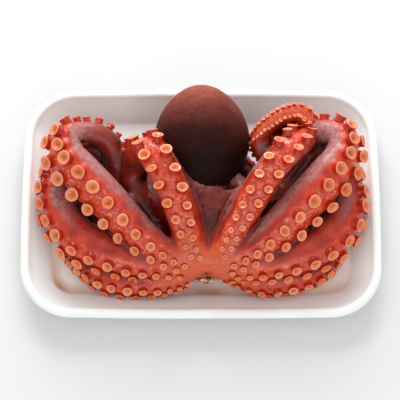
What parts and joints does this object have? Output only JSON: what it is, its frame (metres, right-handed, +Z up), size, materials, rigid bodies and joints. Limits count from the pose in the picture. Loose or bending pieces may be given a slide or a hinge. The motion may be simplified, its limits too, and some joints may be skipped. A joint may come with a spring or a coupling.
{
  "type": "boiled octopus in a foam tray",
  "caption": "Whole boiled octopus with its round head behind and its suckered arms curled outwards, lying in a shallow white foam tray.",
  "frame": {"origin": "middle of the tray's flat underside", "axes": "+X along the tray to the right, +Y from the mouth side to the head side, +Z up"},
  "size_m": [0.3228, 0.2188, 0.0969],
  "materials": {
    "octopus_skin": "moist boiled skin: maroon and dusty pink on the back, orange red on the sucker side",
    "foam": "white expanded polystyrene foam with a smooth satin skin"
  },
  "bodies": {
    "root": {"octopus": "octopus_skin", "tray": "foam"}
  },
  "joints": []
}
